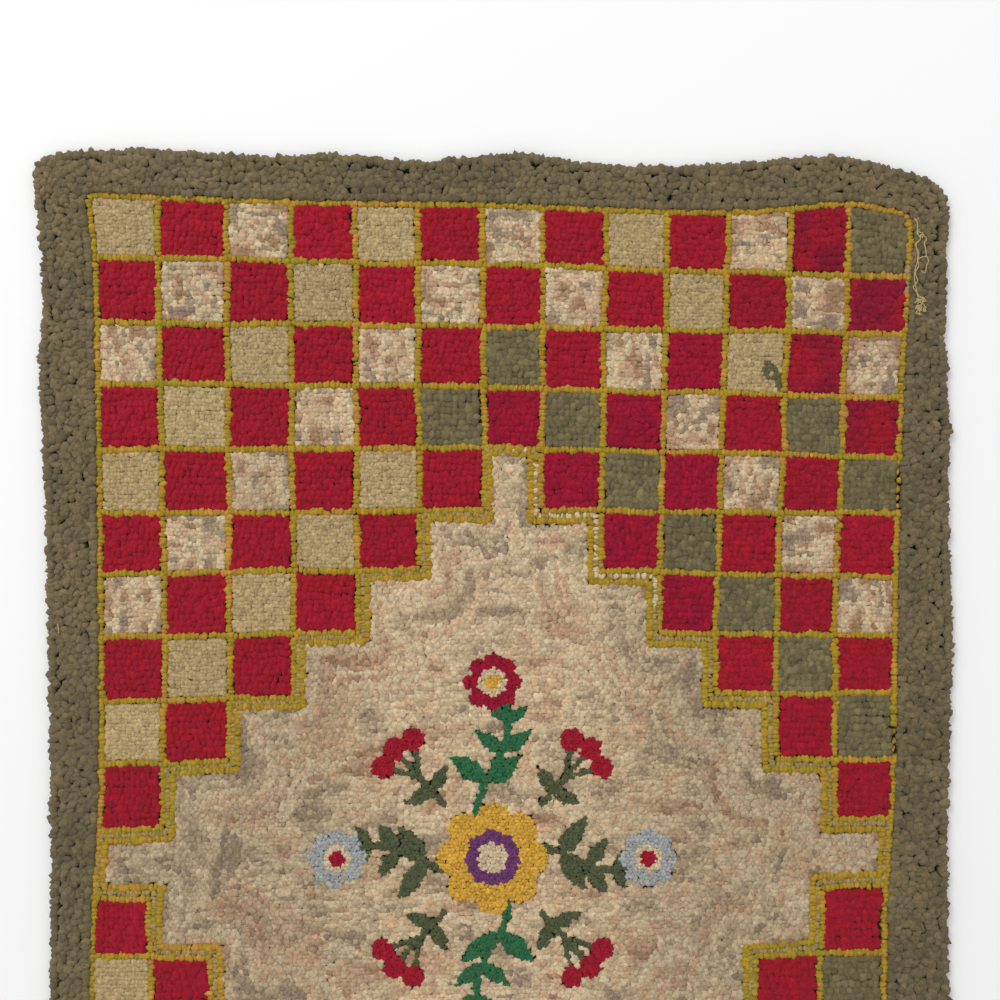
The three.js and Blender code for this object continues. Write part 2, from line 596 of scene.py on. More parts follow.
def fibre_group():
    """Fine fibres: a shade around 1, and a height."""
    group = bpy.data.node_groups.new("wool fibres", "ShaderNodeTree")
    group.interface.new_socket("Fineness", in_out="INPUT", socket_type="NodeSocketFloat")
    for label in ("Shade", "Height"):
        group.interface.new_socket(label, in_out="OUTPUT", socket_type="NodeSocketFloat")
    fineness = group.nodes.new("NodeGroupInput").outputs["Fineness"]
    place = group.nodes.new("ShaderNodeTexCoord").outputs["Object"]
    small = {"Vector": place, "Scale": fineness, "Detail": 3.0, "Roughness": 0.65}
    large = {"Vector": place, "Scale": times(group, fineness, 0.37), "Detail": 1.0}
    fine = add_node(group, "ShaderNodeTexNoise", small).outputs["Fac"]
    slow = add_node(group, "ShaderNodeTexNoise", large).outputs["Fac"]
    shade = times(group, ranged(group, fine, 0.8, 1.2), ranged(group, slow, 0.88, 1.12))
    add_node(group, "NodeGroupOutput", {"Shade": shade, "Height": fine})
    return group


FIBRES = fibre_group()
print("fibre group:", len(FIBRES.nodes), "nodes")

# %% Wool from the fibres
def new_material(name):
    """A material whose nodes can be filled in."""
    material = bpy.data.materials.new(name)
    material.use_nodes = True
    return material


def fill_surface(material, sockets):
    """Fills in the sockets of a material's surface."""
    fill_in(material.node_tree, material.node_tree.nodes["Principled BSDF"], sockets)


def dye_and_bump(material, shade, height, bump, depth):
    """Colours a surface with the dye on its points times a shade, and raises it by a height."""
    tree = material.node_tree
    kept = tree.nodes.new("ShaderNodeAttribute")
    kept.attribute_name = "dye"
    mixed = tree.nodes.new("ShaderNodeVectorMath")
    mixed.operation = "SCALE"
    fill_in(tree, mixed, {0: kept.outputs["Color"], "Scale": shade})
    raised = add_node(tree, "ShaderNodeBump", {"Strength": bump, "Distance": depth, "Height": height})
    fill_surface(material, {"Base Color": mixed.outputs["Vector"], "Normal": raised.outputs["Normal"]})


def wool(name, fineness, bump, depth, fuzz):
    """Dull dyed wool, with darker and lighter fibres, a fine bump and a soft sheen."""
    material = new_material(name)
    tree = material.node_tree
    fibres = tree.nodes.new("ShaderNodeGroup")
    fibres.node_tree = FIBRES
    fibres.inputs["Fineness"].default_value = fineness
    shade = fibres.outputs["Shade"]
    dye_and_bump(material, shade, fibres.outputs["Height"], bump, depth)
    rough = ranged(tree, shade, 1.0, 0.86, 0.8, 1.2)
    fill_surface(material, {"Roughness": rough, "Specular IOR Level": 0.2})
    fill_surface(material, {"Sheen Weight": fuzz, "Sheen Roughness": 0.5})
    return material


THICK_WOOL = wool("thick edge wool", fineness=420, bump=1.0, depth=1.1 * MM, fuzz=0.12)
YARN_WOOL = wool("squares yarn", fineness=650, bump=0.8, depth=0.8 * MM, fuzz=0.06)
FINE_WOOL = wool("fine field wool", fineness=900, bump=0.8, depth=0.6 * MM, fuzz=0.08)
print("wools:", [m.name for m in (THICK_WOOL, YARN_WOOL, FINE_WOOL)])

# %% [markdown]
# ## The squares
# A square is filled in rows. The red and the green yarn is thick, so nine rows fill a square. The
# tan and the mixed wool is thinner, and takes fourteen or fifteen. Rows are tidy on the left of the
# rug, where the work began, and loosen towards the right. A flat square with a pattern painted on
# it would do from far off, but rows of real loops catch the light and look right from every side.

# %% Fill the squares
HALF_LINE = 3.3 * MM  # how much of a square the gold line beside it takes
FRAME_WIDE = 6.2 * MM  # and how much the frame line takes
# How many rows fill a square of each wool, and how many loops stand in a row.
ROWS_OF = {"red": (9, 10), "crimson": (9, 10), "green": (9, 9), "tan": (15, 16), "mixed": (14, 14)}
# How much of the deeper dye each plain wool has, and how much its loops differ.
VARIED = {"red": (0.7, 0.05), "crimson": (0.7, 0.05), "green": (0.9, 0.1), "tan": (0.8, 0.08)}
ROW_WAVE = 0.45  # how far a row strays from straight, in rows
SIDE_MARGIN = 0.03  # no loop stands nearer than this share to the sides of its square
END_MARGIN = 0.02
TIDY = 0.12  # how loose the rows are on the left
LOOSENS = 0.25  # and how much looser on the right
LOTS = 0.035  # how much one square's lot of wool differs from the next
DARK_PATCHES = {(0, 11), (1, 12), (2, 11), (3, 12)}
MIXED_POT = ["violet grey", "grey", "beige", "cream", "cream", "peach", "beige", "rose", "brown"]
STAINED = (2, 10)
GREEN_SPOTS = [(276, 489, 1.0, 0.85), (286, 481, 1.6, 0.55)]  # x and y in mm, how narrow each way


def square_points(row, column, kind):
    """The places of a square's loops, with the number of each loop's row and its place along it."""
    rows, each = ROWS_OF[kind]
    line, frame_side = HALF_LINE / SQUARE, FRAME_WIDE / SQUARE
    left = frame_side if column == 0 else line
    right = frame_side if column == ACROSS - 1 else line
    first = frame_side if row == 0 else line
    last = frame_side if row == ALONG - 1 else line
    t, s = np.mgrid[0:rows, 0:each]
    offset = chance.uniform(-0.5, 0.5, (rows, 1))
    s = ((s + 0.5 + offset) / each).clip(SIDE_MARGIN, 1 - SIDE_MARGIN)
    wave = cloud(s * 2.2 + column * 7, row * 5 + t * 0.6) - 0.5
    t = ((t + 0.5 + wave * ROW_WAVE) / rows).clip(END_MARGIN, 1 - END_MARGIN)
    u = column + left + s * (1 - left - right)
    return on_rug(u, row + first + t * (1 - first - last)), s, t


def mixed_dyes(s, t, number):
    """Leftovers, changed every few loops: worked in rows, up and down, or round and round."""
    way = chance.integers(3)
    ring = np.maximum(abs(s - 0.5), abs(t - 0.5)) * 2
    lane = [t * 14, s * 14, ring * 7][way]
    run = [s * 3.4, t * 3.4, np.arctan2(t - 0.5, s - 0.5) * 1.3][way]
    values = cloud(lane * 0.55 + number * 17.3, run + number * 5.1)
    values = (values - 0.5) * 1.5 + 0.55 + chance.normal(0, 0.07, values.shape)
    return blended(MIXED_POT, values.ravel()) * (1 + chance.normal(0, 0.07, (values.size, 1)))


def square_loops(row, column, kind):
    """The loops that fill one square."""
    at, s, t = square_points(row, column, kind)
    at = at.reshape(-1, 2)
    rows, each = ROWS_OF[kind]
    inner = SQUARE - 2 * HALF_LINE
    count = len(at)
    loose = TIDY + LOOSENS * column / ACROSS
    at = at + chance.normal(0, 0.15 + loose, (count, 2)) * MM
    lot = 1 + chance.normal(0, LOTS)
    if kind == "mixed":
        dyes = mixed_dyes(s, t, row * ACROSS + column)
    else:
        dyes = dyed(kind, kind + " deep", count, *VARIED[kind])
    if (row, column) in DARK_PATCHES:
        patch = ((patches(at, 26, (3.1, column))[:, None] - 0.35) * 3).clip(0, 1)
        dyes = dyes * (1 - patch) + dyed("crimson deep", "red deep", count) * patch
    if (row, column) == STAINED:
        ragged = 3.5 * MM + 5 * MM * patches(at, (4, 5))
        for spot_x, spot_y, *narrow in GREEN_SPOTS:
            away = (at - np.array([spot_x, spot_y]) * MM) * narrow
            spot = np.hypot(*away.T) < ragged
            dyes[spot] = dyed("green deep", "leaf", spot.sum(), 0.5)
    fine = kind in ("tan", "mixed")
    full = 1.6 if fine else 1.75
    low = 0.6 * MM if fine else 0.2 * MM
    return loops(
        at, turn=0.0, long=inner / each * full, wide=inner / rows * (full - 0.1), top=PANEL_TOP - low,
        dyes=dyes * lot, untidy=0.35 if fine else loose, lean=0.35 * MM,
    )


def squares_of(*wanted):
    """The loops of all the squares filled with these wools."""
    return together([square_loops(r, c, k) for (r, c), k in zip(squares, kinds) if k in wanted])


hook("red_squares", YARN_LOOP, squares_of("red", "crimson"), YARN_WOOL)
hook("green_squares", YARN_LOOP, squares_of("green"), YARN_WOOL)
hook("tan_squares", FINE_LOOP, squares_of("tan"), FINE_WOOL)
hook("mixed_squares", FINE_LOOP, squares_of("mixed"), FINE_WOOL)

# %% [markdown]
# ## The gold lines
# One row of gold loops stands on every ruled line, each loop set across the line. Round the field
# the outline is doubled: a row of dull tan, and another row of gold inside it. On the right the
# maker lost the frame line for a hand's width twice, and only dots of gold show in the green. Near
# the far right corner a short stretch of it has worn down to tan. Each line is a list of points,
# and loops are set along it at an even pitch, so the line can bend and end where it likes.

# %% Work the lines
GOLD_PITCH = 4.2 * MM
GOLD_WIDE = 9.0 * MM
GOLD_POT = ["gold green", "gold", "gold", "gold brown"]


def resample(line, pitch, closed):
    """Points evenly along a line, and the way that the line runs at each, in radians."""
    line = np.vstack([line, line[:1]]) if closed else np.asarray(line)
    steps = np.hypot(*np.diff(line, axis=0).T)
    reach = np.concatenate([[0], np.cumsum(steps)])
    count = max(2, round(reach[-1] / pitch))
    wanted = (np.arange(count) + 0.5) * reach[-1] / count
    points = np.column_stack([np.interp(wanted, reach, line[:, i]) for i in (0, 1)])
    part = np.searchsorted(reach, wanted, side="right") - 1
    heading = np.arctan2(*np.diff(line, axis=0)[part.clip(0, len(steps) - 1)].T[::-1])
    return points, heading


def gold_row(line, closed=False, wide=GOLD_WIDE, pitch=GOLD_PITCH):
    """A row of gold loops along a line, set across it."""
    at, heading = resample(line, pitch, closed)
    at = at + chance.normal(0, 0.45, at.shape) * MM
    return loops(
        at, turn=heading + math.pi / 2, long=wide, wide=pitch * 1.5, top=PANEL_TOP + 0.2 * MM,
        dyes=drifting(at, GOLD_POT, 45, (0, 0), 0.2, 0.08), untidy=0.22, lean=0.4 * MM,
    )


def ruled(u0, v0, u1, v1):
    """A straight line of the drawing, as points in metres."""
    share = np.linspace(0, 1, 2 + int(8 * max(abs(u1 - u0), abs(v1 - v0))))
    return on_rug(u0 + (u1 - u0) * share, v0 + (v1 - v0) * share)


def grid_lines():
    """Every side between two squares, or between a square and the field, but none on the frame."""
    filled = set(squares)
    for r, c in [(r, c) for r in range(ALONG) for c in range(ACROSS)]:
        if r and ((r, c) in filled or (r - 1, c) in filled):
            yield ruled(c, r, c + 1, r)
        if c and ((r, c) in filled or (r, c - 1) in filled):
            trim = HALF_LINE / SQUARE
            yield ruled(c, r + trim, c, r + 1 - trim)


LEFT_SQUEEZE = 0.78  # the outline is narrower on the left
TIP_SQUEEZE = 0.45  # and it is squeezed on the left and at the top of the tip


def field_outline(inset):
    """The stepped outline of the field, in squares' coordinates, moved into the field by an inset."""
    tip = ACROSS // 2

    def steps(by):
        """The steps on the left, moved in by some share of a square."""
        line = [(by, STEPPED_ROWS + by)]
        for k in range(1, tip):
            line += [(k + by, STEPPED_ROWS + 1 - k + by), (k + by, STEPPED_ROWS - k + by)]
        return line

    left = steps(inset * LEFT_SQUEEZE)
    right = [(ACROSS - u, v) for u, v in reversed(steps(inset))]
    narrow = inset * TIP_SQUEEZE
    foot = STEPPED_ROWS + 1 - tip + inset
    top = STEPPED_ROWS - tip + narrow
    over = [(tip + narrow, foot), (tip + narrow, top), (tip + 1 - inset, top), (tip + 1 - inset, foot)]
    far = left + over + right
    return far + [(ACROSS - u, ALONG - v) for u, v in far]


def closed_on_rug(corners):
    """A closed line of the drawing, as points in metres."""
    ends = corners[1:] + corners[:1]
    return np.vstack([ruled(*here, *there)[:-1] for here, there in zip(corners, ends)])


def inset_ring(ring, depth):
    """A ring of points moved inwards."""
    ahead = np.roll(ring, -1, axis=0) - np.roll(ring, 1, axis=0)
    inward = np.column_stack([-ahead[:, 1], ahead[:, 0]]) / np.hypot(*ahead.T)[:, None]
    return ring + inward * depth


FRAME_LINE = 2.5 * MM  # how far inside the panel the frame line stands
# Stretches of it on the right of the rug: where each one's middle is, and half its length, in mm.
LOST = [(374, 28), (115, 18)]
WORN = (580, 13)


def stretch(group, middle, half):
    """True for the loops in one stretch on the right of the rug."""
    x, y = group["at"].T
    return (x > 0) & (abs(y - middle * MM) < half * MM)


frame_line = gold_row(inset_ring(panel_ring, FRAME_LINE), closed=True)
lost = stretch(frame_line, *LOST[0]) | stretch(frame_line, *LOST[1])
frame_line["long"][lost] *= 0.6
frame_line["top"][lost] -= 0.8 * MM
frame_line = some(frame_line, ~(lost & (np.arange(len(lost)) % 2 == 0)))
worn = stretch(frame_line, *WORN)
frame_line["dye"][worn] = dye("tan deep")
frame_line["top"][worn] -= 0.6 * MM

# How far the doubled outline's two rows and the field's edge lie inside the last ruled line.
MIDDLE_ROW = 5.5 * MM / SQUARE
OUTER_ROW = 11.2 * MM / SQUARE
FIELD_EDGE = 15.2 * MM / SQUARE
PALE_BEYOND = (20 * MM, 250 * MM)  # pale loops stand in the middle row only further right and up
PALE_SHARE = 0.6
outer_path, middle_path = [closed_on_rug(field_outline(row)) for row in (OUTER_ROW, MIDDLE_ROW)]
outer_line = gold_row(outer_path, closed=True, wide=10.2 * MM)
middle_line = gold_row(middle_path, closed=True, wide=8.6 * MM, pitch=3.0 * MM)
at = middle_line["at"]
plain = dyed("tan deep", "gold green", len(at), 1.0, 0.1)
pale = (at > PALE_BEYOND).all(axis=1) & (chance.random(len(at)) < PALE_SHARE)
middle_line["dye"] = np.where(pale[:, None], dye("cream"), plain)
middle_line["top"] -= 0.3 * MM
gold = together([gold_row(line) for line in grid_lines()] + [frame_line, outer_line, middle_line])
hook("gold_lines", YARN_LOOP, gold, YARN_WOOL)

# %% [markdown]
# ## The medallion
# In the middle of the pale field is a medallion of plain flowers in bright wools. Any maker could
# draw it with a string and a saucer: a rosette in the centre, two long stems and two short ones
# that curl out from it with leaves in pairs and a rosette at each tip, and a sprig of three red
# berries in each corner between them. Each shape is a function that says how far a point is from the
# shape's edge, negative inside. Only one stem of each kind and one sprig are drawn, and the rest
# are the same ones turned round or mirrored.

# %% Shapes to paint with
def towards(angle):
    """One step in the direction of an angle."""
    return np.array([math.cos(angle), math.sin(angle)])


def turned(points, centre, angle):
    """Points as they are seen from a centre in mm, with an angle's direction as the first axis."""
    offset = points - np.array(centre) * MM
    cos, sin = math.cos(angle), math.sin(angle)
    return np.column_stack([offset @ [cos, sin], offset @ [-sin, cos]])


def stroke(line, wide):
    """A line of a certain width."""
    return lambda points: along_line(points, np.array(line) * MM)[0] - wide * MM / 2


def leaf(base, angle, reach, wide):
    """A pointed leaf that grows from its base at an angle."""
    def edge(points):
        along, across = turned(points, base, angle).T / MM
        half = np.sin(math.pi * (along / reach).clip(0, 1) ** 0.8) * wide / 2
        return np.maximum(abs(across) - half, abs(along - reach / 2) - reach / 2) * MM
    return edge


def blossom(centre, across, petals, depth, angle=0.0):
    """A round flower with a number of petals, cut in by a depth from 0 to 1."""
    def edge(points):
        x, y = turned(points, centre, angle).T
        lobes = abs(np.cos(petals / 2 * np.arctan2(y, x))) ** 0.7
        return np.hypot(x, y) - across * MM / 2 * (1 - depth + depth * lobes)
    return edge


print("inside a leaf:", leaf((0, 0), 0.0, 40, 16)(np.array([[20 * MM, 0]])) < 0)

# %% Draw the medallion
HALF_LONG = 205
HALF_WIDE = 185
TIP_FLOWER = 58
CENTRE_FLOWER = 112
PETALS = 8
PETAL_DEPTH = 0.22
UP = math.pi / 2
STEM_SHARES = np.linspace(0, 1, 24)


def curling_stem(reach, angle, sway):
    """A stem that leaves the centre at an angle and sways once to each side, in mm."""
    way = towards(angle)
    side = np.array([-way[1], way[0]])
    out = (STEM_SHARES * reach)[:, None] * way
    return out + (np.sin(STEM_SHARES * 2 * math.pi) * sway)[:, None] * side


def leafy_stem(reach, angle, sway, wools):
    """A curling stem with three pairs of leaves, which get smaller towards its tip."""
    line = curling_stem(reach, angle, sway)
    drawn = [(stroke(line, 6.5), *wools)]
    for share in (0.42, 0.6, 0.76):
        base = line[int(share * len(line))]
        for side in (-1, 1):
            size = 62 * (1.15 - share)
            drawn.append((leaf(base, angle + side * 0.95, size, size * 0.42), *wools))
    return drawn


def rosette(centre, across, body, ring, heart):
    """A plain flower: the petals, a ring, and a heart in the middle."""
    return [
        (blossom(centre, across, PETALS, PETAL_DEPTH, UP), *body),
        (blossom(centre, across * 0.5, PETALS, 0.08, UP), *ring),
        (blossom(centre, across * 0.28, PETALS, 0.08, UP), *heart),
    ]


def berry_sprig(angle, reach):
    """A forked stem with three round berries, and a leaf on each side of the fork."""
    way = towards(angle)
    fork = way * reach * 0.72
    drawn = [(stroke([way * reach * 0.5, fork], 6), "leaf", "green deep")]
    for turn_by in (-0.55, 0, 0.55):
        tip = fork + towards(angle + turn_by) * reach * 0.26
        drawn.append((stroke([fork, tip], 5), "leaf", "green deep"))
        drawn.append((blossom(tip, 22, 3, 0.0), "red", "red deep"))
    for side in (-1, 1):
        drawn.append((leaf(way * reach * 0.6, angle + side * 1.25, 30, 13), "leaf", "green deep"))
    return drawn


CORNER = math.atan2(HALF_LONG, HALF_WIDE)
LONG_REACH = HALF_LONG - TIP_FLOWER / 2
SHORT_REACH = HALF_WIDE - TIP_FLOWER / 2
PALE = ("cream", "beige")
YELLOW = ("mustard", "gold brown")
LONG_STEM = leafy_stem(LONG_REACH, UP, 16, ("bright green", "leaf")) + rosette(
    (0, LONG_REACH), TIP_FLOWER, ("crimson", "crimson deep"), PALE, YELLOW,
)
SHORT_STEM = leafy_stem(SHORT_REACH, 0.0, 12, ("leaf", "green deep")) + rosette(
    (SHORT_REACH, 0), TIP_FLOWER, ("pale blue", "grey"), PALE, ("crimson", "red"),
)
SPRIG = berry_sprig(CORNER, 150)
CENTRE = rosette((0, 0), CENTRE_FLOWER, YELLOW, ("purple", "deep purple"), PALE)
MEDALLION_PITCH = 3.3 * MM
MEDALLION_REACH = np.array([HALF_WIDE + 12, HALF_LONG + 12]) * MM
CLEAR = 0.9 * MM
MIRRORS = [np.array(signs) for signs in ((1, 1), (-1, -1), (-1, 1), (1, -1))]


def paint_medallion(points):
    """A dye for every point in the medallion, and how far every point is from its nearest shape."""
    colours = np.zeros((len(points), 3))
    gap = np.full(len(points), 1.0)
    turns = [(MIRRORS[n], stem) for stem in (LONG_STEM, SHORT_STEM) for n in (0, 1)]
    turns += [(mirror, SPRIG) for mirror in MIRRORS] + [(MIRRORS[0], CENTRE)]
    for mirror, shapes in turns:
        seen = points * mirror
        for edge, base, second in shapes:
            away = edge(seen)
            gap = np.minimum(gap, away)
            within = away < 0
            colours[within] = dyed(base, second, within.sum(), 0.55, 0.09)
    return colours, gap


at = scattered(-MEDALLION_REACH, MEDALLION_REACH, MEDALLION_PITCH, MEDALLION_PITCH * 0.95, 0.22)
colours, gap = paint_medallion(at)
painted = gap < 0
medallion = loops(
    at[painted], turn=0.0, long=MEDALLION_PITCH * 1.4, wide=MEDALLION_PITCH * 1.35,
    top=PANEL_TOP - 0.3 * MM, dyes=colours[painted], untidy=0.8, lean=0.3 * MM,
)
hook("flower_medallion", FINE_LOOP, medallion, FINE_WOOL)

# %% [markdown]
# ## The pale field
# The field is the maker's oldest, softest wool: cream, beige, peach and greyish leftovers. Near
# the stepped outline the rows follow it, and further in they run across the rug and wander. Each
# strip gives a short streak of one colour, and each lot of wool a larger patch. The loops stand on
# one scattered net, and only their colours and their turn follow the rows, so no seam shows where
# two ways of working meet.

# %% Fill the field
FIELD_ACROSS = 4.2 * MM
FIELD_ALONG = 3.9 * MM
FIELD_ROW = 4.6 * MM
FIELD_POT = [
    "grey", "violet grey", "beige", "beige", "cream", "cream", "peach", "beige", "rose", "brown",
]
FOLLOW = 45  # the rows follow the outline at least this far in, in mm
FOLLOW_MORE = 30  # and up to this much further
DIMS_FROM = 90 * MM  # the field gets a little darker from here to its sides
field_ring = closed_on_rug(field_outline(FIELD_EDGE))
at = scattered(field_ring.min(axis=0), field_ring.max(axis=0), FIELD_ACROSS, FIELD_ALONG, 0.22)
at = at[inside(at, field_ring)]
near_medallion = (abs(at) < MEDALLION_REACH).all(axis=1)
clear = np.ones(len(at), bool)
clear[near_medallion] = paint_medallion(at[near_medallion])[1] > CLEAR
at = at[clear]

x, y = at.T
away, along = along_line(at, field_ring, closed=True)
swing = patches(at, (110, 90)) * 5
follows = away < (FOLLOW + FOLLOW_MORE * patches(at, 50, (0, 40))) * MM
row_at = np.where(follows, away / FIELD_ROW, y / FIELD_ROW + swing + 90)
row_of = np.floor(row_at)
run_of = np.where(follows, along / (17 * MM), x / (15 * MM) + 50)
streak = cloud(row_of * 7.3, run_of)
lot = cloud(row_at * 0.26 + 9, run_of * 0.5 + 23)
patch = patches(at, (62, 48), (20, 70))
values = 0.5 + (streak - 0.5) * 0.5 + (lot - 0.5) * 0.8 + (patch - 0.5) * 0.4
values += chance.normal(0, 0.07, len(at))
light = 1 + (cloud(row_of * 3.7 + 31, run_of + 17) - 0.5) * 0.2 + chance.normal(0, 0.06, len(at))
light *= 1 - 0.2 * ((abs(x) - DIMS_FROM) / DIMS_FROM).clip(0, 1)
dyes = (blended(FIELD_POT, values) * light[:, None]).clip(0.01, 1)
field = loops(
    at, turn=np.where(follows, math.pi / 2, 0.0), long=FIELD_ACROSS * 1.7, wide=FIELD_ALONG * 1.6,
    top=PANEL_TOP - 0.6 * MM, dyes=dyes, untidy=0.45, lean=0.35 * MM,
)
far = field["at"][:, 1] > 0
hook("field_far_half", FINE_LOOP, some(field, far), FINE_WOOL)
hook("field_near_half", FINE_LOOP, some(field, ~far), FINE_WOOL)

# %% [markdown]
# ## The edge band
# The band is hooked in thick strips with long loops, which fall every way, so its rows can hardly be
# seen. One row follows the frame line closely. The outermost loops lean out over the edge of the
# burlap and give the rug its knobbly rim. Between those two rows a scattered net of loops, each
# turned its own way, gives the same crowd without any rows.

# %% Hook the edge band
BAND_ACROSS = 5.8 * MM
BAND_ALONG = 5.3 * MM
RIM_PITCH = 5.2 * MM
RIM_LEAN = 1.9 * MM
RIM_ROW = 5.0 * MM  # how far inside the rug's edge the outermost row stands
NET_IN = 8.5 * MM  # and how far inside it the net begins
FIRST_PITCH = 5.8 * MM
FIRST_ROW = 4.4 * MM  # how far outside the panel the row along the frame line stands
NET_OUT = 7.4 * MM  # and how far outside it the net begins
at = scattered(edge_ring.min(axis=0), edge_ring.max(axis=0), BAND_ACROSS, BAND_ALONG, 0.3)
within = inside(at, inset_ring(edge_ring, NET_IN))
at = at[within & ~inside(at, inset_ring(panel_ring, -NET_OUT))]


def edge_dyes(at):
    """The band's wool, in slow drifts of olive, warm brown and a deeper shade."""
    return drifting(at, ["edge deep", "edge", "edge", "edge warm"], 38, (11, 0), 0.3, 0.07)


band = loops(
    at, turn=chance.uniform(0, math.pi, len(at)), long=10.6 * MM, wide=8.6 * MM,
    top=PILE_TOP - 0.8 * MM, dyes=edge_dyes(at), lean=1.1 * MM,
)
band["top"] = np.minimum(band["top"] + chance.normal(0, 0.45 * MM, len(at)), PILE_TOP)
at, heading = resample(inset_ring(panel_ring, -FIRST_ROW), FIRST_PITCH, closed=True)
first_row = loops(
    at, turn=heading, long=9.4 * MM, wide=10.4 * MM, top=PILE_TOP - 1.2 * MM,
    dyes=edge_dyes(at), untidy=0.6, lean=0.8 * MM,
)
at, heading = resample(inset_ring(edge_ring, RIM_ROW), RIM_PITCH, closed=True)
rim_row = loops(
    at, turn=heading, long=9.0 * MM, wide=10.0 * MM, top=PILE_TOP - 1.8 * MM,
    dyes=edge_dyes(at), untidy=0.6, lean=0.5 * MM,
)
outward = np.column_stack([np.sin(heading), -np.cos(heading)])
pulled_out = (chance.random((len(at), 1)) < 0.06) * 1.8 * MM
rim_row["lean"] += outward * (RIM_LEAN + pulled_out + chance.normal(0, 0.8 * MM, (len(at), 1)))
hook("edge_band", THICK_LOOP, together([band, first_row, rim_row]), THICK_WOOL, lumpiness=0.07)

# %% [markdown]
# ## Loose threads
# Where the frame line has worn, a few threads of the burlap have come up. They lie curled on the
# band and end in a frayed patch, and one short end has come up on the left. Each is a smooth curve
# given a round section and made a mesh.

# %% Lay the loose threads
THREAD_THICK = 0.6 * MM


def route(*points, steps=12):
    """A smooth line through points given in mm, as points in metres."""
    marks = np.array(points, float) * MM
    ends = np.vstack([2 * marks[0] - marks[1], marks, 2 * marks[-1] - marks[-2]])
    t = np.linspace(0, 1, steps, endpoint=False)[:, None]
    spans = []
    for a, b, c, d in zip(ends, ends[1:], ends[2:], ends[3:]):
        bend, swing = 2 * a - 5 * b + 4 * c - d, 3 * (b - c) + d - a
        spans.append(0.5 * (2 * b + (c - a) * t + bend * t**2 + swing * t**3))
    return np.vstack(spans + [marks[-1:]])


def on_pile(line):
    """A flat line, raised to lie on the tops of the loops, and dipping between them as it goes."""
    dip = 0.25 * MM * (1 + np.sin(np.arange(len(line)) * 0.7))
    return np.column_stack([line, PILE_TOP + THREAD_THICK - dip])


def frayed(centre, spread, count):
    """Short loose ends that lie every way over each other in an oval patch, all in mm."""
    ends = []
    for _ in range(count):
        way, out = chance.uniform(0, 2 * math.pi, 2)
        middle = np.array(centre) + math.sqrt(chance.random()) * np.array(spread) * towards(out) / 2
        step = towards(way) * chance.uniform(1.4, 2.4)
        bend = np.array([-step[1], step[0]]) * chance.normal(0, 0.7)
        ends.append(on_pile(route(middle - step, middle + bend, middle + step, steps=5)))
    return ends


LONG_THREADS = [
    [
        (421, 640), (424, 634), (424, 625), (427, 619), (423, 615), (423, 609), (425, 600), (422, 590),
        (421, 581), (422, 573), (424, 563), (426, 557),
    ],
    [
        (426, 617), (422, 613), (425, 605), (424, 599), (425, 592), (422, 585), (424, 577), (420, 571),
        (423, 566), (427, 560),
    ],
    [
        (428, 624), (433, 619), (431, 615), (432, 609), (433, 602), (435, 597), (433, 592), (432, 586),
        (430, 585), (428, 587),
    ],
]
SHORT_THREADS = [
    [(425, 599), (429, 601), (433, 601)],
    [(-434, 235), (-433, 231), (-433, 226)],
]
lines = [on_pile(route(*marks)) for marks in LONG_THREADS]
lines += [on_pile(route(*marks, steps=5)) for marks in SHORT_THREADS]
lines += frayed((427, 624), (7, 5), 7) + frayed((427, 552), (11, 17), 36)


def thread(name, points):
    """A thin round thread through points, as a mesh."""
    curve = bpy.data.curves.new(name, "CURVE")
    curve.dimensions = "3D"
    curve.bevel_depth = THREAD_THICK
    curve.bevel_resolution = 1
    curve.use_fill_caps = True
    spline = curve.splines.new("POLY")
    spline.points.add(len(points) - 1)
    spline.points.foreach_set("co", np.column_stack([points, np.ones(len(points))]).ravel())
    piece = bpy.data.objects.new(name, curve)
    bpy.context.scene.collection.objects.link(piece)
    bpy.ops.object.select_all(action="DESELECT")
    piece.select_set(True)
    bpy.context.view_layer.objects.active = piece
    bpy.ops.object.convert(target="MESH")
    return bpy.context.object


strands = [thread(f"strand_{n}", points) for n, points in enumerate(lines)]
start_shape()
for strand in strands:
    strand.select_set(True)
bpy.context.view_layer.objects.active = strands[0]
bpy.ops.object.join()
threads = bpy.context.object
threads.name = "loose_threads"
bpy.ops.object.shade_smooth()
keep_dye(threads.data, dye("thread"))
threads.data.materials.clear()
threads.data.materials.append(FINE_WOOL)
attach(threads, "root")
print("threads:", len(threads.data.polygons), "faces")

# %% [markdown]
# ## The foundation
# The burlap is one flat cloth with the rug's outline. It starts as a disc with a point for every
# point of the outline, is cut into a net of small squares by bisecting it again and again, and is
# given its thickness by a modifier. The back of a hooked rug shows its pattern too, as flat
# stitches, so the underside takes its colour from the nearest loop.

# %% Weave the burlap
NET = 8 * MM
HEM = 2.5 * MM  # how far inside the rug's edge the burlap ends
burlap_outline = inset_ring(edge_ring, HEM)
start_shape()
bpy.ops.mesh.primitive_circle_add(vertices=len(burlap_outline), radius=1, fill_type="NGON")
foundation = bpy.context.object
foundation.name = "foundation"
for vert, (x, y) in zip(foundation.data.vertices, burlap_outline):
    vert.co = (x, y, 0)
bpy.ops.object.mode_set(mode="EDIT")
for axis, way in ((0, (1, 0, 0)), (1, (0, 1, 0))):
    low, high = burlap_outline[:, axis].min(), burlap_outline[:, axis].max()
    for cut in np.arange(low + NET / 2, high, NET):
        place = [0, 0, 0]
        place[axis] = cut
        bpy.ops.mesh.select_all(action="SELECT")
        bpy.ops.mesh.bisect(plane_co=place, plane_no=way)
bpy.ops.mesh.select_all(action="SELECT")
bpy.ops.mesh.normals_make_consistent(inside=False)
bpy.ops.object.mode_set(mode="OBJECT")
if foundation.data.polygons[0].normal.z < 0:
    foundation.data.flip_normals()
cloth = foundation.modifiers.new("cloth", "SOLIDIFY")
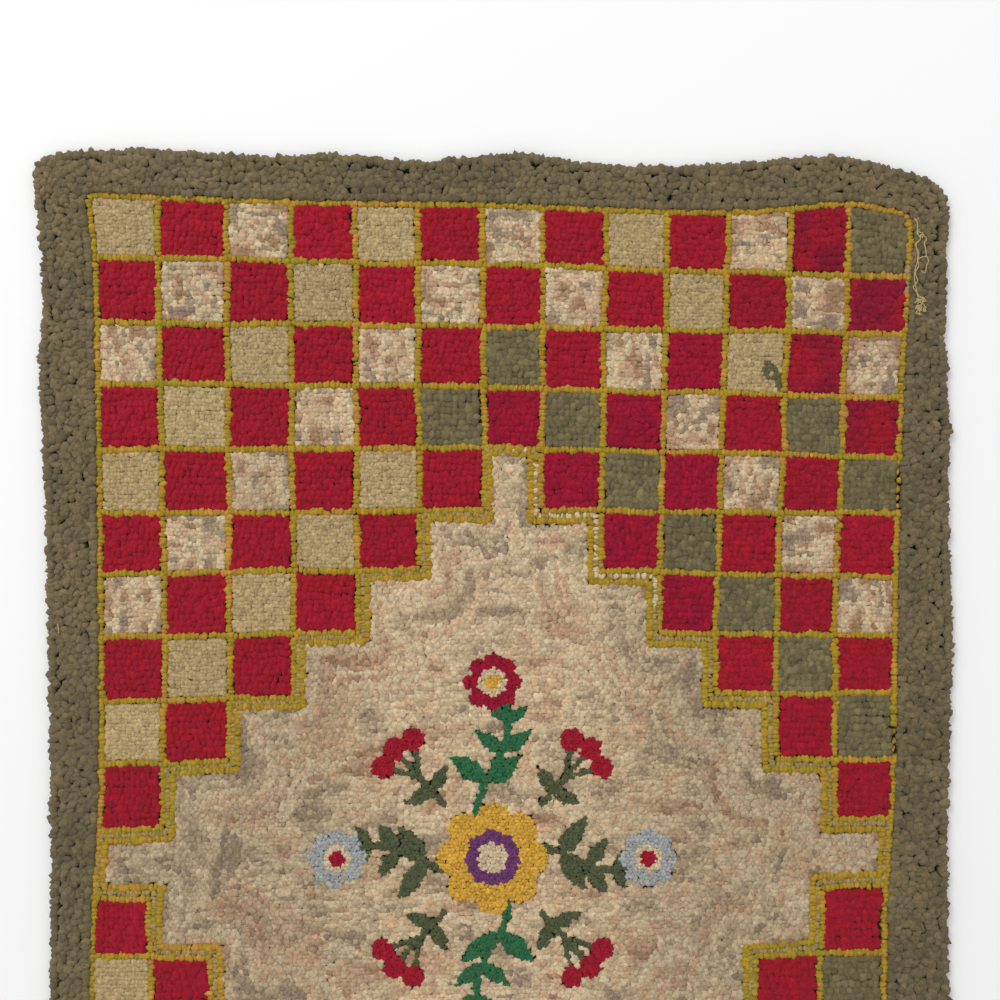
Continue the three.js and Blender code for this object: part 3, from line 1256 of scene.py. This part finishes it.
cloth.thickness = BURLAP
cloth.offset = 1
bpy.ops.object.modifier_apply(modifier=cloth.name)
print("burlap:", foundation.dimensions.to_tuple(4), "m")

# %% Colour the two sides of the burlap
BACK_SHADE = 0.72
all_loops = together([group for _, group in hooked])
nearest = mathutils.kdtree.KDTree(len(all_loops["at"]))
for index, (x, y) in enumerate(all_loops["at"]):
    nearest.insert((x, y, 0), index)
nearest.balance()


def cloth_colour(place):
    """The burlap's own colour on top, and the darkened dye of the nearest loop below."""
    if place.z > BURLAP / 2:
        return dye("burlap")
    return all_loops["dye"][nearest.find((place.x, place.y, 0))[1]] * BACK_SHADE


keep_dye(foundation.data, [cloth_colour(vert.co) for vert in foundation.data.vertices])


def burlap_material():
    """Coarse plain weave: threads over and under both ways, on the colour of the cloth."""
    material = new_material("burlap")
    tree = material.node_tree
    place = tree.nodes.new("ShaderNodeTexCoord").outputs["Object"]
    weave = tree.nodes.new("ShaderNodeMath")
    weave.operation = "MAXIMUM"
    for socket, direction in enumerate(("X", "Y")):
        sockets = {"Vector": place, "Scale": 190.0, "Distortion": 1.5, "Detail": 1.0}
        bands = add_node(tree, "ShaderNodeTexWave", sockets)
        bands.bands_direction = direction
        tree.links.new(bands.outputs["Fac"], weave.inputs[socket])
    shade = ranged(tree, weave.outputs[0], 0.6, 1.1, 0.2, 1.0)
    dye_and_bump(material, shade, weave.outputs[0], bump=0.6, depth=0.4 * MM)
    fill_surface(material, {"Roughness": 0.95, "Specular IOR Level": 0.15})
    return material


foundation.data.materials.append(burlap_material())
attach(foundation, "root")
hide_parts("rug")
pile = [piece for piece, _ in hooked] + [threads]
print("burlap:", len(foundation.data.polygons), "faces")

# %% [markdown]
# ## The floor, the light and the camera
# The rug lies on a plain pale floor, under one large soft light from the far left and a white
# surround. The light is low enough to draw the loops. The camera looks straight down.

# %% Set the stage
start_shape()
bpy.ops.mesh.primitive_plane_add(size=80, location=(0, 0, -0.5 * MM))
floor = bpy.context.object
floor.name = "floor"
floor_paint = new_material("pale floor")
fill_surface(floor_paint, {"Base Color": (0.80, 0.80, 0.80, 1), "Roughness": 0.85})
floor.data.materials.append(floor_paint)

scene = bpy.context.scene
scene.view_settings.view_transform = "Standard"
scene.world = bpy.data.worlds.new("soft surround")
scene.world.use_nodes = True
surround = scene.world.node_tree
fill_in(surround, surround.nodes["Background"], {"Color": (1.0, 1.0, 1.0, 1), "Strength": 0.84})


def soft_light(name, place, aim, size, power):
    """A large square light that shines from one place to another."""
    lamp = bpy.data.lights.new(name, "AREA")
    lamp.size = size
    lamp.energy = power
    light = bpy.data.objects.new(name, lamp)
    scene.collection.objects.link(light)
    light.location = place
    way = mathutils.Vector(aim) - mathutils.Vector(place)
    light.rotation_euler = way.to_track_quat("-Z", "Y").to_euler()


soft_light("key", place=(-1.8, 3.2, 3.4), aim=(0, 0.1, 0), size=2.6, power=118)

LENS = 50
SENSOR = 36
VIEW_WIDE = 1.0
VIEW_CENTRE = (7.5 * MM, 358.5 * MM)
camera = bpy.data.objects.new("camera", bpy.data.cameras.new("camera"))
camera.data.lens = LENS
camera.data.sensor_width = SENSOR
camera.data.clip_start = 0.05
camera.location = (*VIEW_CENTRE, PANEL_TOP + VIEW_WIDE * LENS / SENSOR)
scene.collection.objects.link(camera)
scene.camera = camera
print("the camera is", round(camera.location.z, 3), "m above the floor")

# %% Measure and finish
triangles = 0
for piece in [foundation] + pile:
    piece.data.calc_loop_triangles()
    triangles += len(piece.data.loop_triangles)
print("triangles in all:", triangles)
